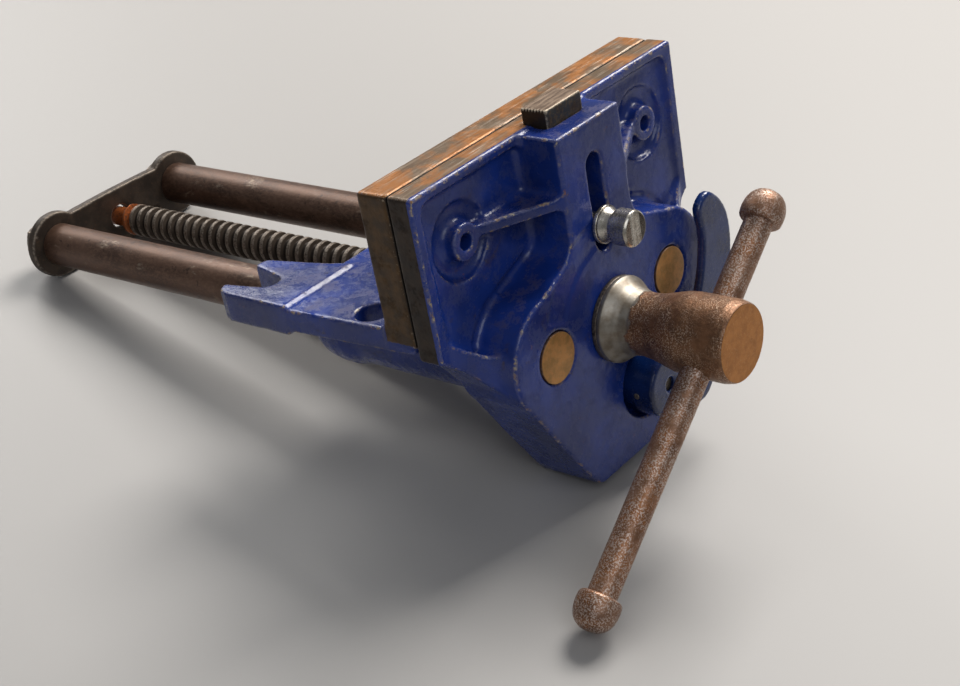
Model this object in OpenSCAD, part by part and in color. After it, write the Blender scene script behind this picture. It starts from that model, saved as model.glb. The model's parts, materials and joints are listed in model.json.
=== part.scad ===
// Quick-release woodworking vise that bolts under the front edge of a bench.
// X runs along the jaws, Y runs back under the bench, Z is up.
// The origin is midway between the two front bolt holes, level with the top of the flange there.

/* [Jaws] */
// Width of both jaws
jaw_w = 178; // [176:1:186]
// Height of the jaw tops above the flange
jaw_top = 59.6; // [58:0.2:62]
// Distance from the meeting face of the jaws to the front bolt holes
jaw_setback = 31; // [30:0.5:33]
// Thickness of the machined part of the rear jaw
rear_jaw_t = 15.6; // [15:0.1:16]
// Depth of the front jaw's rim
rim_depth = 12.6; // [12:0.1:14]
// Depth of the front jaw's thin web, at the floor of the pockets
web_depth = 7; // [6:0.1:7.5]
// Depth of the recessed field at its top
field_depth = 8.8; // [8:0.1:9.5]
// Depth of the shield-shaped boss on the front jaw
boss_depth = 31.6; // [31:0.1:32]

/* [Guide bars] */
// Distance between the guide bar centres
bar_spacing = 83.2; // [83:0.1:84]
// Depth of the guide bars below the top of the flange
bar_drop = 28.7; // [28.4:0.1:29.4]
// Guide bar radius
bar_r = 11.11; // [11:0.01:11.15]
// Distance from the meeting face of the jaws to the end plate
bar_reach = 299; // [295:1:305]
// Radial clearance of the bars in the rear jaw
bar_clearance = 0.05; // [0.03:0.01:0.09]

/* [Screw] */
// Depth of the main screw below the top of the flange
screw_drop = 31; // [30.4:0.1:31.4]
// Crest radius of the thread
thread_r = 8.5; // [8.3:0.1:8.7]
// Radius of the journal that turns in the front jaw
journal_r = 11; // [10.5:0.1:11.2]
// Radius of the barrel that holds the handle
barrel_r = 17.6; // [17:0.1:18]
// Radius of the flared collar
collar_r = 18.9; // [18.5:0.1:19.2]

/* [Handle] */
// Radius of the sliding handle
handle_r = 6.35; // [6:0.05:6.4]
// Tilt of the handle from level
handle_tilt = 36; // [0:1:60]
// Length of the handle between the knob centres
handle_l = 184; // [175:1:190]
// Distance from the screw's axis to the upper knob centre
handle_up = 61.5; // [60:0.5:100]
// Knob radius
knob_r = 9.5; // [9:0.1:10]

/* [Quick release] */
// Radius of the release lever's hub
hub_r = 14.9; // [14:0.1:15.5]
// Radius of the round recess that the hub turns in
hub_recess_r = 17.1; // [16.5:0.1:17.5]

/* [Dog] */
// Width of the sliding dog
dog_w = 24; // [23:0.1:24]
// Thickness of the sliding dog
dog_t = 13.2; // [13:0.1:13.3]
// Height of the dog above the jaw tops
dog_rise = 6.6; // [0:0.1:20]

/* [Bench fixing] */
// Distance between the front bolt holes
bolt_spacing = 158; // [157:1:159]
// Radius of the front bolt holes
bolt_hole_r = 7.4; // [6.5:0.1:7.6]
// Distance between the open rear bolt notches
notch_spacing = 152; // [151:1:153]
// Radius at the closed end of each notch
notch_r = 5.4; // [5:0.1:5.5]

/* [Hidden] */
$fn = 64;

enamel = "#1f3f93";
steel = "#8d8a86";
bright_steel = "#c9c6c0";
rusty_steel = "#7a5a44";
dark_steel = "#4d463f";

// Planes across the vise, named by what lies on them
meet_y = -jaw_setback;
jaw_gap = 0.3;
front_back_y = meet_y - jaw_gap;
web_y = meet_y - web_depth;
field_top_y = meet_y - field_depth;
rim_y = meet_y - rim_depth;
field_low_y = rim_y + 0.6;
boss_y = meet_y - boss_depth;
cavity_y = meet_y - 17;
recess_y = meet_y - 23;
rear_plate_y = meet_y + rear_jaw_t;
sleeve_end_y = meet_y + 94;
plate_y = meet_y + bar_reach;
plate_t = 5.6;
plate_back_y = plate_y + plate_t;

// Heights and axes
bar_x = bar_spacing / 2;
bar_z = -bar_drop;
screw_z = -screw_drop;
jaw_side_h = 71;
rear_side_h = 65.3;
front_bottom_z = jaw_top - 160;
lever_x = 14.8;
lever_z = -69.1;
trip_x = 23.3;
trip_z = -38.8;
nut_pin_x = -17.5;
nut_pin_z = -22.9;
nut_near_y = meet_y + 18;
nut_far_y = meet_y + 58;
dog_screw_z = jaw_top - 46.6;
fit_gap = 0.05;

// Places a child on an axis that runs along Y
module at_axis(x, z) {
    translate([x, 0, z]) children();
}

// Extrudes an outline drawn in X and Z from a near Y plane to a far one
module between_y(near, far) {
    translate([0, far, 0]) rotate([90, 0, 0]) linear_extrude(far - near) children();
}

// A round rod along Y
module rod_y(r, near, far) {
    translate([0, near, 0]) rotate([-90, 0, 0]) cylinder(r = r, h = far - near);
}

// A turned shape about Y, drawn as radius and Y
module turned_y() {
    rotate([-90, 0, 0]) rotate_extrude() children();
}

// Mirrors a half outline given from top to bottom on the right-hand side
function both_sides(half) =
    concat(half, [for (i = [len(half) - 1 : -1 : 0]) [-half[i][0], half[i][1]]]);

// Point on a smooth closed curve that passes through all of its control points
function smooth_point(a, b, c, d, t) =
    0.5 * (2 * b + (c - a) * t + (2 * a - 5 * b + 4 * c - d) * t * t
           + (3 * b - a - 3 * c + d) * t * t * t);
function smooth_loop(pts, steps) =
    [for (i = [0 : len(pts) - 1], s = [0 : steps - 1])
        smooth_point(pts[(i + len(pts) - 1) % len(pts)], pts[i], pts[(i + 1) % len(pts)],
                     pts[(i + 2) % len(pts)], s / steps)];

// Points that round a corner, from one side of it to the other
function bend(from, corner, to, steps) =
    [for (i = [0 : steps]) let (t = i / steps)
        (1 - t) * (1 - t) * from + 2 * t * (1 - t) * corner + t * t * to];

// Repeats a child for both guide bars
module both_bars() {
    for (side = [-1, 1]) at_axis(side * bar_x, bar_z) children();
}

// ---------------------------------------------------------------- front jaw

side_x = jaw_w / 2;
cheek_hole_x = side_x - 26.4;
cheek_hole_z = jaw_top - 29;
cheek_hole_r = 3.4;
cheek_boss_r = 8;
cheek_dish_r = 16.5;
column_half = 21.8;
rib_t = 5.4;
rim_w = 5.5;
rim_top_w = 4.5;
foot_x = 66;
foot_z = jaw_top - 77.6;
lobe_x = 42.8;
lobe_z = jaw_top - 86.3;
lobe_r = 26.4;
pocket_w = 4.4;

module front_outline() {
    polygon(both_sides([[0, jaw_top], [side_x, jaw_top], [side_x, jaw_top - jaw_side_h],
                        [78.5, jaw_top - 79.3], [70, jaw_top - 90.5], [48.2, jaw_top - 127.5],
                        [32.6, jaw_top - 152], [27.5, front_bottom_z + 1.5],
                        [24, front_bottom_z]]));
}

// The recessed field inside the rim, which ends behind the boss
module field_outline() {
    polygon(both_sides(concat(
        [[0, jaw_top - rim_top_w]],
        bend([side_x - rim_w - 6, jaw_top - rim_top_w], [side_x - rim_w, jaw_top - rim_top_w],
             [side_x - rim_w, jaw_top - rim_top_w - 6], 4),
        [[side_x - rim_w, jaw_top - 64.6], [foot_x, foot_z], [0, foot_z]])));
}

// Outer edge of the pocket that runs around the shield
module pocket_outline() {
    for (side = [-1, 1]) translate([side * lobe_x, lobe_z]) circle(r = lobe_r + pocket_w);
    polygon(both_sides(concat(
        [[0, jaw_top - 38]],
        bend([column_half, jaw_top - 42], [column_half + 2, jaw_top - 48], [35, jaw_top - 51.4], 6),
        [[50, jaw_top - 56.4], [50, lobe_z], [0, lobe_z]])));
}

// The field itself, which leans forward towards its foot and is dished around the cheek bosses
module field_plate() {
    intersection() {
        between_y(rim_y, front_back_y) difference() {
            front_outline();
            pocket_outline();
            for (side = [-1, 1]) translate([side * cheek_hole_x, cheek_hole_z])
                circle(r = cheek_dish_r);
        }
        translate([-side_x, 0, 0]) rotate([90, 0, 90]) linear_extrude(jaw_w)
            polygon([[front_back_y, jaw_top], [field_top_y, jaw_top], [field_low_y, foot_z],
                     [front_back_y, foot_z]]);
    }
}

// Foot of the rim on one side, which grows out to the face of the shield
module rim_foot(side) {
    intersection() {
        between_y(boss_y, front_back_y) difference() {
            front_outline();
            field_outline();
        }
        translate([0, 0, jaw_top - 95]) linear_extrude(32)
            polygon(concat([[side * 40, front_back_y], [side * side_x, front_back_y],
                            [side * side_x, rim_y]],
                           bend([side * (side_x - rim_w), rim_y], [side * 71, rim_y - 4],
                                [side * 66.5, boss_y + 4], 6),
                           [[side * 62, boss_y + 1], [side * 40, boss_y + 1]]));
    }
}

// The shield around the bars and the screw
module shield_outline() {
    for (side = [-1, 1]) translate([side * lobe_x, lobe_z]) circle(r = lobe_r);
    polygon(both_sides(concat(
        [[0, jaw_top - 40]],
        bend([column_half, jaw_top - 43], [column_half, jaw_top - 52], [31, jaw_top - 55], 6),
        [[47, jaw_top - 60.4], [69.1, jaw_top - 89], [67, jaw_top - 96.5],
         [48.2, jaw_top - 127.5], [32.6, jaw_top - 152], [27.5, front_bottom_z + 1.5],
         [24, front_bottom_z]])));
}

// Hollow behind the shield for the collar and the release linkage
module cavity_outline() {
    polygon([[-24, -14.4], [24, -14.4], [24, -27.4], [29.5, -36.4], [31, -46.4], [38, -60.4],
             [28, -84.4], [-28, -84.4], [-38, -60.4], [-24, -44.4]]);
}

// Wedge rib from a cheek boss up to the column
module cheek_rib(side) {
    translate([0, 0, cheek_hole_z - 1.8]) linear_extrude(rib_t)
        polygon([[side * 20, web_y], [side * 62, web_y], [side * 54, rim_y - 0.4],
                 [side * (column_half - 0.5), boss_y + 0.6], [side * 20, boss_y + 0.6]]);
}

// Shallow curved panel on the shield, left blank
module blank_panel() {
    at_axis(0, screw_z) between_y(boss_y - 1, boss_y + 0.7) intersection() {
        difference() {
            circle(r = 49);
            circle(r = 35.5);
        }
        polygon([[0, 0], [-70, 28], [-60, 60], [-8, 62]]);
    }
}

module front_jaw() {
    color(enamel) difference() {
        union() {
            between_y(web_y, front_back_y) front_outline();
            field_plate();
            between_y(rim_y, front_back_y) difference() {
                front_outline();
                field_outline();
            }
            between_y(boss_y, front_back_y) shield_outline();
            between_y(boss_y, front_back_y)
                translate([-column_half, jaw_top - 60]) square([2 * column_half, 59]);
            for (side = [-1, 1]) {
                at_axis(side * cheek_hole_x, cheek_hole_z)
                    rod_y(cheek_boss_r, rim_y - 0.6, front_back_y);
                cheek_rib(side);
                rim_foot(side);
            }
        }
        both_bars() rod_y(bar_r, boss_y - 1, meet_y + 1);
        at_axis(0, screw_z) rod_y(journal_r + fit_gap, boss_y - 1, meet_y);
        for (side = [-1, 1])
            at_axis(side * cheek_hole_x, cheek_hole_z) rod_y(cheek_hole_r, rim_y - 2, meet_y + 1);
        dog_channel();
        dog_slot();
        between_y(cavity_y, meet_y + 1) cavity_outline();
        at_axis(lever_x, lever_z) {
            rod_y(hub_recess_r, boss_y - 1, recess_y);
            rod_y(4.5 + fit_gap, boss_y, meet_y);
        }
        at_axis(trip_x, trip_z) rod_y(3 + fit_gap, cavity_y - 8.5, cavity_y + 1);
        blank_panel();
    }
}

module dog_channel() {
    translate([-dog_w / 2 - 0.15, meet_y - 7.2 - dog_t - 0.15, jaw_top - 70])
        cube([dog_w + 0.3, dog_t + 0.3, 80]);
}

module dog_slot() {
    slot_half = 4.8;
    slot_top = jaw_top - 15.2 - slot_half;
    slot_low = dog_screw_z - dog_rise - 0.4;
    at_axis(0, slot_top) rod_y(slot_half, boss_y - 1, web_y - 5);
    at_axis(0, slot_low) rod_y(slot_half, boss_y - 1, web_y - 5);
    translate([-slot_half, boss_y - 1, slot_low])
        cube([2 * slot_half, boss_depth - web_depth - 4, slot_top - slot_low]);
}

// ---------------------------------------------------------------- rear jaw

flange_half = 92.5;
flange_low = -10.9;
lug_top = 1.6;
lug_low = -12.9;
lug_near_y = meet_y + 70.7;
lug_far_y = meet_y + 113.5;
flange_far_y = meet_y + 77.7;
sleeve_r = 21;
bolt_x = bolt_spacing / 2;
notch_x = notch_spacing / 2;
notch_end_y = meet_y + 96;

module rear_plate_outline() {
    polygon(both_sides([[0, jaw_top], [side_x, jaw_top], [side_x, jaw_top - rear_side_h],
                        [71, flange_low], [60, -34], [48, -47.4], [0, -50.4]]));
}

module flange_outline() {
    polygon(both_sides([[0, meet_y + 2], [side_x - 1, meet_y + 2], [side_x + 1, meet_y + 30],
                        [flange_half, lug_near_y], [flange_half, flange_far_y],
                        [0, flange_far_y]]));
}

// One rear lug, drawn on the right-hand side
module lug_outline() {
    difference() {
        polygon([[49, lug_near_y], [flange_half, lug_near_y], [flange_half, lug_far_y - 7],
                 [90.5, lug_far_y - 2], [86.5, lug_far_y], [66, lug_far_y], [62, lug_far_y],
                 [59.5, lug_far_y - 2], [51.5, flange_far_y]]);
        translate([notch_x, notch_end_y]) circle(r = notch_r);
        polygon([[notch_x - notch_r, notch_end_y], [notch_x + notch_r, notch_end_y],
                 [notch_x + 9.5, lug_far_y + 1], [notch_x - 9.5, lug_far_y + 1]]);
    }
}

// Bearing sleeve for one guide bar, with a thick rounded end
module sleeve() {
    turned_y() polygon([[0, meet_y + 1], [sleeve_r, meet_y + 1], [sleeve_r, meet_y + 66],
                        [22.4, meet_y + 74], [22.4, meet_y + 80], [21.2, meet_y + 87],
                        [18.6, meet_y + 92], [16.5, sleeve_end_y], [0, sleeve_end_y]]);
}

// Stiffening rib under the flange, beside a sleeve
module flange_rib(side) {
    translate([side * 66.5 - 2.5, 0, 0]) rotate([90, 0, 90]) linear_extrude(5)
        polygon([[rear_plate_y - 1, flange_low + 1], [rear_plate_y - 1, -20.4],
                 [lug_near_y + 10, lug_low + 1], [lug_near_y + 10, flange_low + 1]]);
}

module rear_jaw() {
    color(enamel) difference() {
        union() {
            between_y(meet_y, rear_plate_y) rear_plate_outline();
            translate([0, 0, flange_low]) linear_extrude(-flange_low) flange_outline();
            for (side = [0, 1]) mirror([side, 0, 0])
                translate([0, 0, lug_low]) linear_extrude(lug_top - lug_low) lug_outline();
            both_bars() sleeve();
            between_y(meet_y + 1, meet_y + 74)
                translate([-bar_x, -45.4]) square([bar_spacing, 42]);
            for (side = [-1, 1]) flange_rib(side);
        }
        both_bars() rod_y(bar_r + bar_clearance, meet_y - 1, sleeve_end_y + 1);
        at_axis(0, screw_z) rod_y(thread_r + 1.6, meet_y - 1, sleeve_end_y);
        between_y(meet_y - 1, sleeve_end_y + 1)
            translate([8, -43.4]) square([18.4, 13]);
        translate([-24, nut_near_y - 1, -58.4]) cube([46, nut_far_y - nut_near_y + 2, 52.5]);
        at_axis(nut_pin_x, nut_pin_z) rod_y(3, meet_y + 8, meet_y + 75);
        for (side = [-1, 1]) {
            at_axis(side * cheek_hole_x, cheek_hole_z) rod_y(cheek_hole_r, meet_y - 1, 0);
            translate([side * bolt_x, 0, -20]) cylinder(r = bolt_hole_r, h = 30);
        }
    }
}

// ---------------------------------------------------------------- half nut

nut_lift_edge = 15.5;

// The nut bears on the top of the screw and reaches down on the right to the trip bar
module half_nut() {
    color(dark_steel) difference() {
        union() {
            at_axis(nut_pin_x, nut_pin_z) rod_y(5.6, nut_near_y, nut_far_y);
            between_y(nut_near_y, nut_far_y)
                polygon([[nut_pin_x, nut_pin_z + 5.6], [13, -15.4], [nut_lift_edge, -17.9],
                         [nut_lift_edge, -34.8], [14, -36.7], [10.6, -36.7], [9.8, -34.8],
                         [9.8, screw_z], [nut_pin_x + 7, screw_z + 3.6],
                         [nut_pin_x, nut_pin_z - 5.6]]);
        }
        at_axis(0, screw_z) rod_y(thread_r + 0.3, nut_near_y - 1, nut_far_y + 1);
        at_axis(nut_pin_x, nut_pin_z) rod_y(3 + fit_gap, nut_near_y - 1, nut_far_y + 1);
        translate([0, (nut_near_y + nut_far_y) / 2, -18.9]) cylinder(r = 5, h = 10);
    }
}

module half_nut_pin() {
    color(steel) at_axis(nut_pin_x, nut_pin_z) rod_y(3, meet_y + 8, meet_y + 75);
}

module half_nut_spring() {
    color(steel) translate([0, (nut_near_y + nut_far_y) / 2, -18.8]) difference() {
        cylinder(r = 4.4, h = 12.8);
        translate([0, 0, -1]) cylinder(r = 3.2, h = 15);
    }
}

// ---------------------------------------------------------------- guide bars and end plate

stud_r = 6.3;
plate_lobe_r = 17.5;

module guide_bar() {
    rod_y(bar_r, boss_y, plate_y);
    rod_y(stud_r, plate_y - 1, plate_back_y + 12);
}

module guide_bar_left() {
    color(rusty_steel) at_axis(-bar_x, bar_z) guide_bar();
}

module guide_bar_right() {
    color(rusty_steel) at_axis(bar_x, bar_z) guide_bar();
}

module end_plate() {
    color(dark_steel) difference() {
        union() {
            both_bars() rod_y(plate_lobe_r, plate_y, plate_back_y);
            between_y(plate_y, plate_back_y)
                polygon(both_sides([[0, -15], [24, -15.3], [30, -15.8], [bar_x - 3, bar_z + 12],
                                    [bar_x, bar_z - plate_lobe_r + 0.3],
                                    [0, bar_z - plate_lobe_r + 0.3]]));
        }
        both_bars() rod_y(stud_r + fit_gap, plate_y - 1, plate_back_y + 1);
        at_axis(0, screw_z) rod_y(6.2, plate_y - 1, plate_back_y + 1);
        at_axis(trip_x, trip_z) rod_y(3 + fit_gap, plate_y - 1, plate_back_y + 1);
    }
}

module end_plate_washers() {
    color(steel) both_bars() difference() {
        rod_y(12, plate_back_y, plate_back_y + 2);
        rod_y(stud_r + fit_gap, plate_back_y - 1, plate_back_y + 3);
    }
}

module end_plate_nuts() {
    color(dark_steel) both_bars() difference() {
        translate([0, plate_back_y + 2, 0]) rotate([-90, 0, 0]) cylinder(r = 12, h = 8, $fn = 6);
        rod_y(stud_r + fit_gap, plate_back_y, plate_back_y + 12);
    }
}

// ---------------------------------------------------------------- main screw

head_end_y = meet_y - 93.3;
handle_y = meet_y - 78.1;
collar_y = boss_y - 2.3;
tip_y = plate_y - 9;

module main_screw() {
    color(rusty_steel) difference() {
        at_axis(0, screw_z) turned_y() polygon([
            [0, head_end_y], [16.2, head_end_y], [16.9, head_end_y + 1], [barrel_r, head_end_y + 4.5],
            [barrel_r, meet_y - 70.5], [17.1, meet_y - 66], [15.6, meet_y - 60],
            [14.1, meet_y - 54], [13.6, meet_y - 49], [13.7, meet_y - 45.5],
            [14.8, meet_y - 42], [16.4, meet_y - 39.2], [18.2, meet_y - 36.8],
            [collar_r, meet_y - 35.8], [collar_r, collar_y], [journal_r, collar_y],
            [journal_r, cavity_y], [thread_r, cavity_y], [thread_r, tip_y - 1.5],
            [thread_r - 2.4, tip_y], [5.2, tip_y], [5.2, plate_back_y + 3], [0, plate_back_y + 4]]);
        handle_line() translate([0, 0, -30]) cylinder(r = handle_r + 0.35, h = 60);
        collar_pin_line(2);
    }
}

// Places a child on the handle's axis, which becomes its own Z
module handle_line() {
    translate([0, handle_y, screw_z]) rotate([0, 90 - handle_tilt, 0]) children();
}

// The cross pin through the retaining collar
module collar_pin_line(r) {
    translate([0, cavity_y + 4.2, screw_z]) rotate([0, 90, 0])
        translate([0, 0, -14.5]) cylinder(r = r, h = 29);
}

module thrust_washer() {
    color(dark_steel) at_axis(0, screw_z) difference() {
        rod_y(collar_r - 0.2, collar_y, boss_y - 0.1);
        rod_y(journal_r + fit_gap, collar_y - 1, boss_y + 1);
    }
}

module retaining_collar() {
    color(dark_steel) difference() {
        at_axis(0, screw_z) rod_y(14.5, cavity_y + 0.3, cavity_y + 8.2);
        at_axis(0, screw_z) rod_y(thread_r, cavity_y - 1, cavity_y + 10);
        collar_pin_line(2);
    }
}

module collar_pin() {
    color(steel) collar_pin_line(2);
}

// ---------------------------------------------------------------- handle

handle_low = handle_up - handle_l;
knob_seat = 7.6;

module handle_bar() {
    color(steel) handle_line() {
        translate([0, 0, handle_low]) cylinder(r = handle_r, h = handle_l);
    }
}

// A domed knob whose flat seat faces along -Z of its own axis
module knob() {
    difference() {
        rotate_extrude() polygon(concat(
            [[0, -knob_seat], [handle_r + 1.6, -knob_seat], [knob_r, -knob_seat + 2.4]],
            [for (a = [0 : 10 : 90]) [knob_r * cos(a), -1 + (knob_r - 1) * sin(a)]]));
        translate([0, 0, -knob_seat - 1]) cylinder(r = handle_r, h = knob_seat + 1);
    }
}

module handle_knob_top() {
    color(steel) handle_line() translate([0, 0, handle_up]) knob();
}

module handle_knob_bottom() {
    color(steel) handle_line() translate([0, 0, handle_low]) mirror([0, 0, 1]) knob();
}

// ---------------------------------------------------------------- quick release

lever_front_y = meet_y - 44.3;
lever_arm_t = 4.5;
shaft_r = 4.5;
crank_y = cavity_y + 0.6;
crank_t = 5;
link_x = 18.95;
link_z = -53.4;
link_pin_r = 2.2;

// Curved finger blade, drawn as a smooth closed loop
function lever_loop() = smooth_loop([
    [lever_x + 2, lever_z + 14], [30, -50.4], [41, -42.4], [48.5, -29.4], [52, -14.4],
    [50.8, -1.4], [60, 3.2], [70.5, -6.9], [73.6, -22.4], [69, -42.4], [60, -64.4],
    [48, -83.9], [37, -89.9],
    [lever_x + 8, lever_z - 15.5], [lever_x + 1, lever_z - 6]], 5);

module release_lever() {
    color("#16357f") difference() {
        union() {
            between_y(lever_front_y, lever_front_y + lever_arm_t) polygon(lever_loop());
            at_axis(lever_x, lever_z) rod_y(hub_r, lever_front_y, recess_y - 0.6);
        }
        at_axis(lever_x, lever_z) {
            rod_y(shaft_r, lever_front_y + 2.5, recess_y);
            rod_y(11, lever_front_y + 11.5, recess_y);
        }
        lever_pin_line();
    }
}

module lever_pin_line() {
    translate([lever_x - hub_r - 1, lever_front_y + 8.6, lever_z]) rotate([0, 90, 0])
        cylinder(r = 1.5, h = 2 * hub_r + 2);
}

module lever_pin() {
    color(steel) intersection() {
        lever_pin_line();
        at_axis(lever_x, lever_z) rod_y(hub_r, lever_front_y, recess_y);
    }
}

module lever_shaft() {
    color(steel) difference() {
        at_axis(lever_x, lever_z) rod_y(shaft_r, lever_front_y + 2.5, crank_y + crank_t);
        lever_pin_line();
    }
}

// Torsion spring around the shaft, inside the hub
module lever_spring() {
    color(steel) at_axis(lever_x, lever_z) difference() {
        rod_y(9, lever_front_y + 12, recess_y - 0.2);
        rod_y(6.6, lever_front_y + 11, recess_y + 1);
    }
}

// Arm on the back of the lever shaft, with the pin that works the trip bar
module lever_crank() {
    color(dark_steel) {
        difference() {
            between_y(crank_y, crank_y + crank_t) {
                translate([lever_x, lever_z]) circle(r = 8);
                translate([link_x, link_z]) circle(r = 4.2);
                translate([lever_x, lever_z]) rotate(-atan2(link_x - lever_x, link_z - lever_z))
                    translate([-4.2, 0]) square([8.4, 16.2]);
            }
            at_axis(lever_x, lever_z) rod_y(shaft_r, crank_y - 1, crank_y + crank_t + 1);
        }
        at_axis(link_x, link_z) rod_y(link_pin_r, crank_y + crank_t - 1, crank_y + 2 * crank_t + 1);
    }
}

trip_half_t = 1.6;
trip_crank_y = crank_y + crank_t + 0.5;
blade_y = trip_crank_y + crank_t + 0.1;
blade_left_x = 9.6;
blade_right_x = trip_x + 1.9;

// Flat bar that runs the whole length of the guide bars and turns on its round ends
module trip_bar() {
    color(dark_steel) {
        at_axis(trip_x, trip_z) {
            rod_y(3, cavity_y - 8, blade_y + 1);
            rod_y(3, plate_y - 1, plate_back_y + 4);
        }
        translate([blade_left_x, blade_y, trip_z - trip_half_t])
            cube([blade_right_x - blade_left_x, plate_y - 0.3 - blade_y, 2 * trip_half_t]);
    }
}

// Forked arm on the front of the trip bar
module trip_crank() {
    fork_gap = link_pin_r + 0.45;
    color(dark_steel) difference() {
        between_y(trip_crank_y, trip_crank_y + crank_t) {
            translate([trip_x, trip_z]) circle(r = 5.2);
            translate([trip_x, trip_z]) rotate(-atan2(trip_x - link_x, trip_z - link_z))
                translate([-5.2, -19.5]) square([10.4, 19.5]);
        }
        at_axis(trip_x, trip_z) rotate([0, atan2(trip_x - link_x, trip_z - link_z), 0])
            translate([-fork_gap, trip_crank_y - 1, -25]) cube([2 * fork_gap, crank_t + 2, 13.5]);
        at_axis(trip_x, trip_z) rod_y(3, trip_crank_y - 1, blade_y);
    }
}

module trip_bar_clip() {
    color(steel) at_axis(trip_x, trip_z) difference() {
        rod_y(5.2, plate_back_y + 0.2, plate_back_y + 1.6);
        rod_y(3, plate_back_y, plate_back_y + 3);
    }
}

// ---------------------------------------------------------------- dog

dog_near_y = meet_y - 7.2 - dog_t;

module dog_bar() {
    color(dark_steel) difference() {
        translate([-dog_w / 2, dog_near_y, jaw_top + dog_rise - 69.5]) cube([dog_w, dog_t, 69.5]);
        at_axis(0, dog_screw_z) rod_y(3.15 + fit_gap, dog_near_y - 1, dog_near_y + 9.5);
    }
}

module dog_screw() {
    color(bright_steel) difference() {
        at_axis(0, dog_screw_z) turned_y() polygon([
            [0, boss_y - 16.4], [6.9, boss_y - 16.4], [7.8, boss_y - 15.4], [7.8, boss_y - 8],
            [7.2, boss_y - 7.2], [6.2, boss_y - 7.2], [6.1, boss_y - 6.2], [6.6, boss_y - 4.6],
            [7.7, boss_y - 2.4], [7.7, boss_y - 2], [4.5, boss_y - 2], [4.5, dog_near_y - 0.2],
            [3.15, dog_near_y - 0.2], [3.15, dog_near_y + 9], [0, dog_near_y + 9]]);
        for (i = [-2 : 2]) translate([i * 1.3 - 0.3, boss_y - 17, dog_screw_z - 10])
            cube([0.6, 1.1, 20]);
    }
}

module dog_washer() {
    color(bright_steel) at_axis(0, dog_screw_z) difference() {
        rod_y(8.2, boss_y - 2, boss_y - 0.2);
        rod_y(4.5 + fit_gap, boss_y - 3, boss_y);
    }
}

rear_jaw();
half_nut();
half_nut_pin();
half_nut_spring();
front_jaw();
guide_bar_left();
guide_bar_right();
end_plate();
end_plate_washers();
end_plate_nuts();
main_screw();
thrust_washer();
retaining_collar();
collar_pin();
handle_bar();
handle_knob_top();
handle_knob_bottom();
release_lever();
lever_shaft();
lever_pin();
lever_spring();
lever_crank();
trip_bar();
trip_crank();
trip_bar_clip();
dog_bar();
dog_screw();
dog_washer();
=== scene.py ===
"""Looks of the quick-release bench vise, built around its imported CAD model."""

import json
import math

import bmesh
import bpy
import numpy as np
import openvdb
from mathutils import Matrix, Vector, noise


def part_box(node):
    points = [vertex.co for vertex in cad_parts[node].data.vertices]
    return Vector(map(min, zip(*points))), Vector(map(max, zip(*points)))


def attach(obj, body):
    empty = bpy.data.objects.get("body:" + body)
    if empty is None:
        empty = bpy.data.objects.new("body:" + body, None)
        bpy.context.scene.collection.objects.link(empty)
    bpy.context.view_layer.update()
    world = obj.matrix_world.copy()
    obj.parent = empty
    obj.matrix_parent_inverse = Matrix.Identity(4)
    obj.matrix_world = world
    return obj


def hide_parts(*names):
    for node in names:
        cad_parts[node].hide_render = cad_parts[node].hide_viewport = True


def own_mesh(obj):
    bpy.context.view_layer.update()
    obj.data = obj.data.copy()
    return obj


MM = 0.001
TAU = 2 * math.pi

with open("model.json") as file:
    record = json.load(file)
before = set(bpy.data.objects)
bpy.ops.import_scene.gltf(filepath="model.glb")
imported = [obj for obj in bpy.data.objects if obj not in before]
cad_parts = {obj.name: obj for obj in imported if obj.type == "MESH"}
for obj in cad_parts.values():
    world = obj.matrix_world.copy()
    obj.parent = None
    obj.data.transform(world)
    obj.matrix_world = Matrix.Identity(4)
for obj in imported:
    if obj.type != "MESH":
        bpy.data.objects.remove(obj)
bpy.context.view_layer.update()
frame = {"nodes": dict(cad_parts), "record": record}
body_of = {node: body for body, nodes in frame["record"]["behaviour"]["bodies"].items() for node in nodes}


# ------------------------------------------------------------------ places taken from the frame

jaw_low, jaw_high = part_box("front_jaw")
rear_low, rear_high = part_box("rear_jaw")
screw_low, screw_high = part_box("main_screw")
plate_low, plate_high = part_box("end_plate")
bar_low, bar_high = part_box("guide_bar_left")
washers_low, washers_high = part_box("end_plate_washers")
nuts_low, nuts_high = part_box("end_plate_nuts")
dog_low, dog_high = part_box("dog_bar")
collar_low, collar_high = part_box("retaining_collar")
thrust_low, thrust_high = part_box("thrust_washer")
dog_washer_low, dog_washer_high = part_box("dog_washer")
shaft_low, shaft_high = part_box("lever_shaft")
coil_low, coil_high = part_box("lever_spring")
spring_low, spring_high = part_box("half_nut_spring")
clip_low, clip_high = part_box("trip_bar_clip")
nut_pin_low, nut_pin_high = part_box("half_nut_pin")
collar_pin_low, collar_pin_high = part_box("collar_pin")
lever_pin_low, lever_pin_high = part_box("lever_pin")

SCREW = Vector(((screw_low.x + screw_high.x) / 2, 0, (screw_low.z + screw_high.z) / 2))
BAR_X = -(bar_low.x + bar_high.x) / 2
BAR_Z = (bar_low.z + bar_high.z) / 2
BAR_R = (bar_high.x - bar_low.x) / 2 / MM
STUD_R = 6.3
JAW_TOP = jaw_high.z
JAW_SIDE = jaw_high.x
MEET_Y = rear_low.y
BOSS_Y = jaw_low.y
ALONG = Vector((0, 1, 0))


# ------------------------------------------------------------------ mesh helpers


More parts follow.
